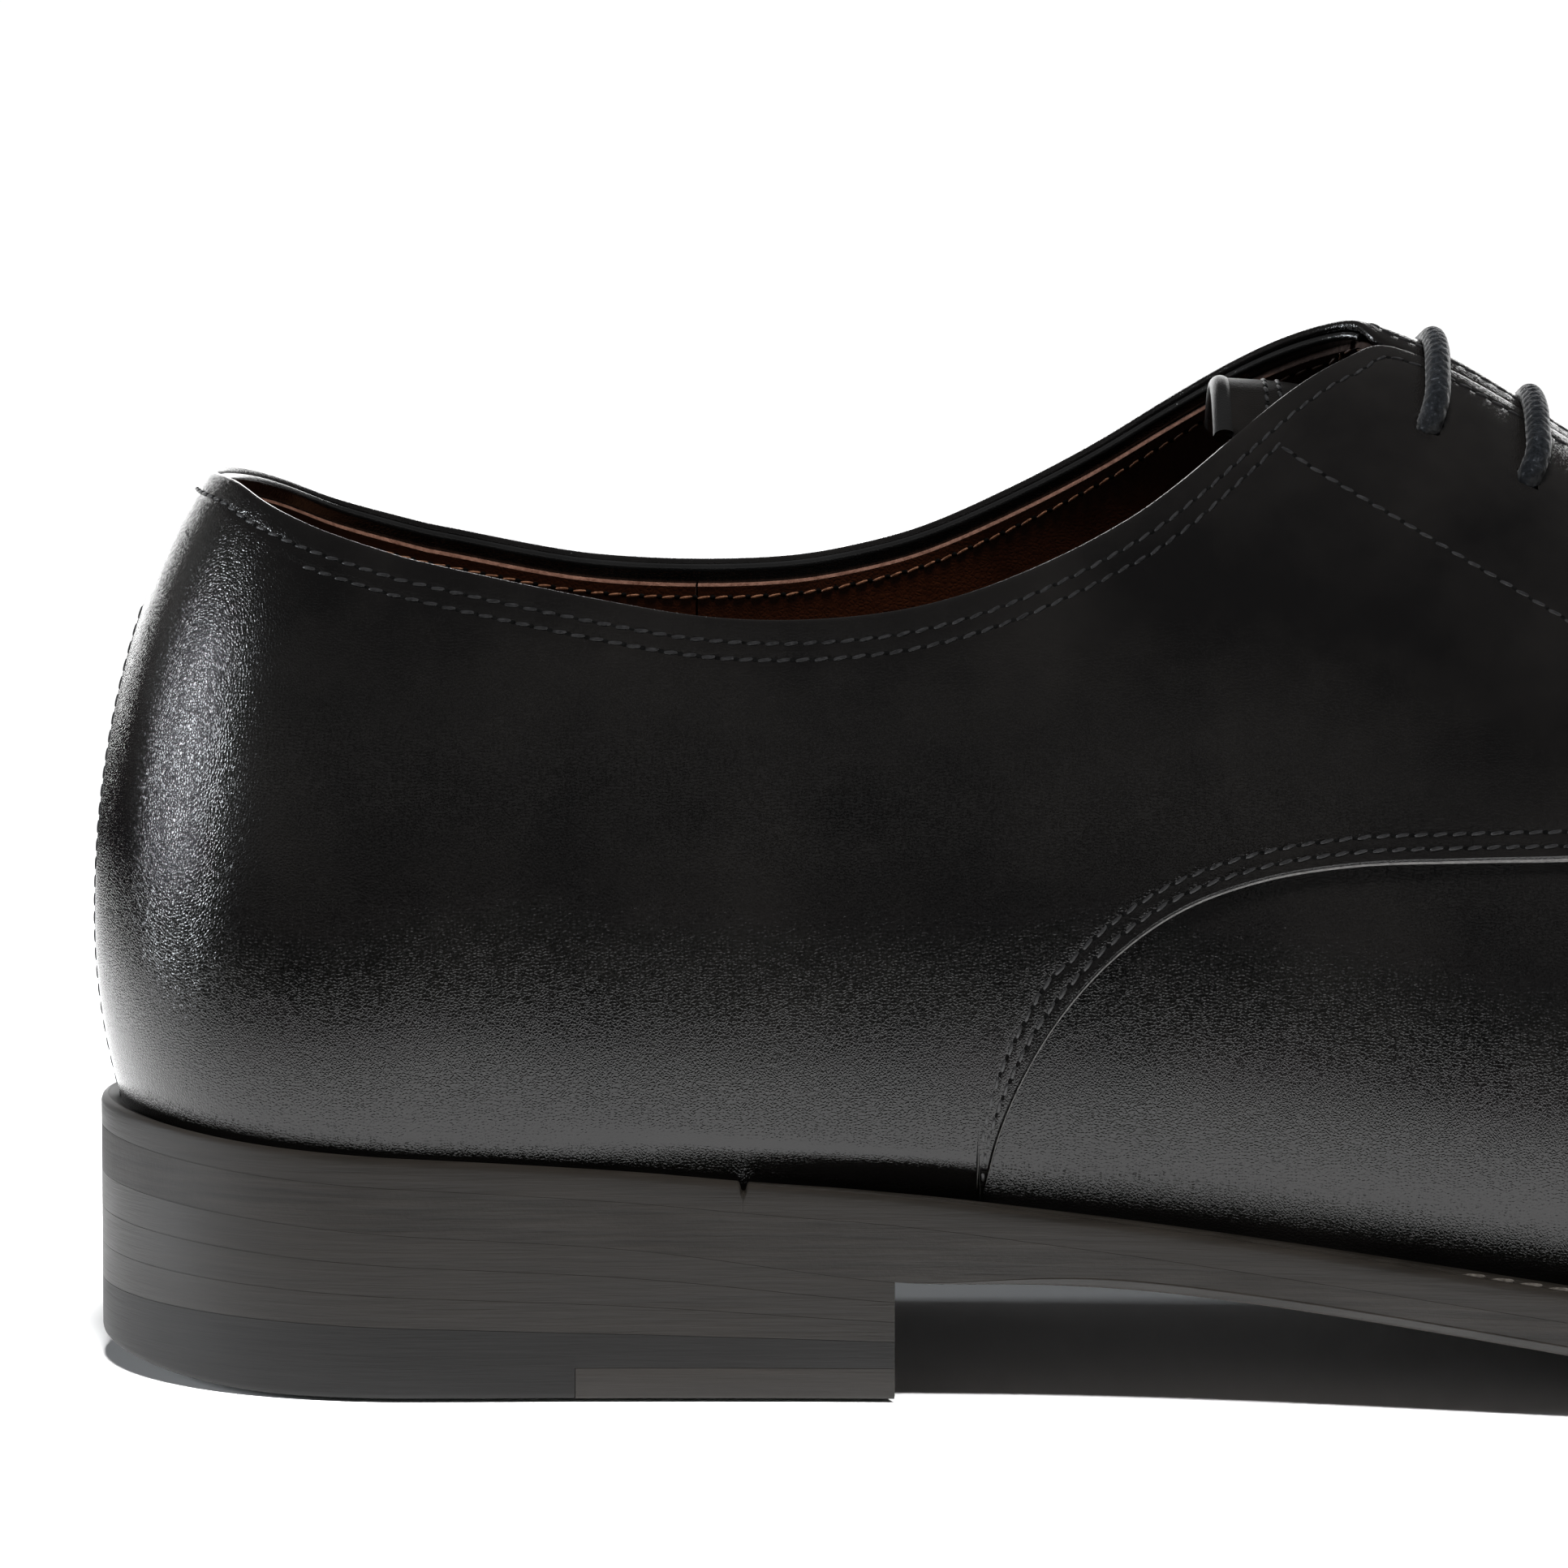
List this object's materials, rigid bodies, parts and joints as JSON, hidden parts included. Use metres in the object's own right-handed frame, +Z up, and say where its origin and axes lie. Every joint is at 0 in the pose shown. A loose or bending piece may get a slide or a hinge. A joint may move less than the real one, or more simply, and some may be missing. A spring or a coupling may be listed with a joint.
{
  "type": "leather oxford shoe",
  "caption": "Black leather lace-up dress shoe, right foot: smooth quarters lapped over a plain vamp, straight bar lacing, brown lining, welted leather sole, stacked heel with rubber corner.",
  "frame": {"origin": "On the ground, under the middle of the shoe's bounding box", "axes": "+X points to the toe, +Y to the medial side, +Z up. The heel and the ball of the sole rest on z = 0"},
  "size_m": [0.3006, 0.1009, 0.108],
  "materials": {
    "upper_leather": "smooth black calf with a fine grain, polished to a soft gloss",
    "binding_leather": "thin folded black leather edge, glossy",
    "lining_leather": "dark reddish-brown lining leather, matt",
    "vamp_lining_leather": "tan lining leather, matt",
    "insole_leather": "undyed vegetable-tanned leather board",
    "counter_leather": "undyed stiffened leather",
    "sole_leather": "stacked and burnished leather edge, dyed black-brown, matt",
    "welt_leather": "black leather welt, polished on top",
    "insert_leather": "dyed leather heel corner, a little lighter than the rubber",
    "heel_rubber": "matt black rubber",
    "cork": "granulated cork paste",
    "shank_steel": "spring steel strip",
    "nail_brass": "brass heads, worn flush",
    "stay_fabric": "woven cotton reinforcement",
    "puff_fabric": "resin-stiffened canvas",
    "lace_cotton": "round braided cotton, waxed, black"
  },
  "bodies": {
    "shoe": {"outsole": "sole_leather", "welt": "welt_leather", "heel_rand": "sole_leather", "insole": "insole_leather", "cork_filler": "cork", "shank": "shank_steel", "sock_liner": "lining_leather", "heel_lift_1": "sole_leather", "heel_lift_2": "sole_leather", "heel_lift_3": "sole_leather", "heel_top_lift": "heel_rubber", "heel_insert": "insert_leather", "heel_nails": "nail_brass", "vamp": "upper_leather", "quarter_lateral": "upper_leather", "quarter_medial": "upper_leather", "facing_stay_lateral": "stay_fabric", "facing_stay_medial": "stay_fabric", "vamp_lining": "vamp_lining_leather", "quarter_lining_lateral": "lining_leather", "quarter_lining_medial": "lining_leather", "heel_grip": "lining_leather", "heel_counter": "counter_leather", "toe_puff": "puff_fabric", "topline_binding": "binding_leather", "lace": "lace_cotton"},
    "tongue_flap": {"tongue": "upper_leather", "tongue_lining": "lining_leather", "tongue_binding": "binding_leather"}
  },
  "joints": [
    {"name": "tongue_hinge", "type": "hinge", "parent": "shoe", "child": "tongue_flap", "pos_m": [0.04925, 0.0021, 0.0665], "axis": [0, -1, 0], "range_deg": [0, 14], "stiffness_Nm_per_rad": 0.05, "springref_deg": -11.46}
  ]
}
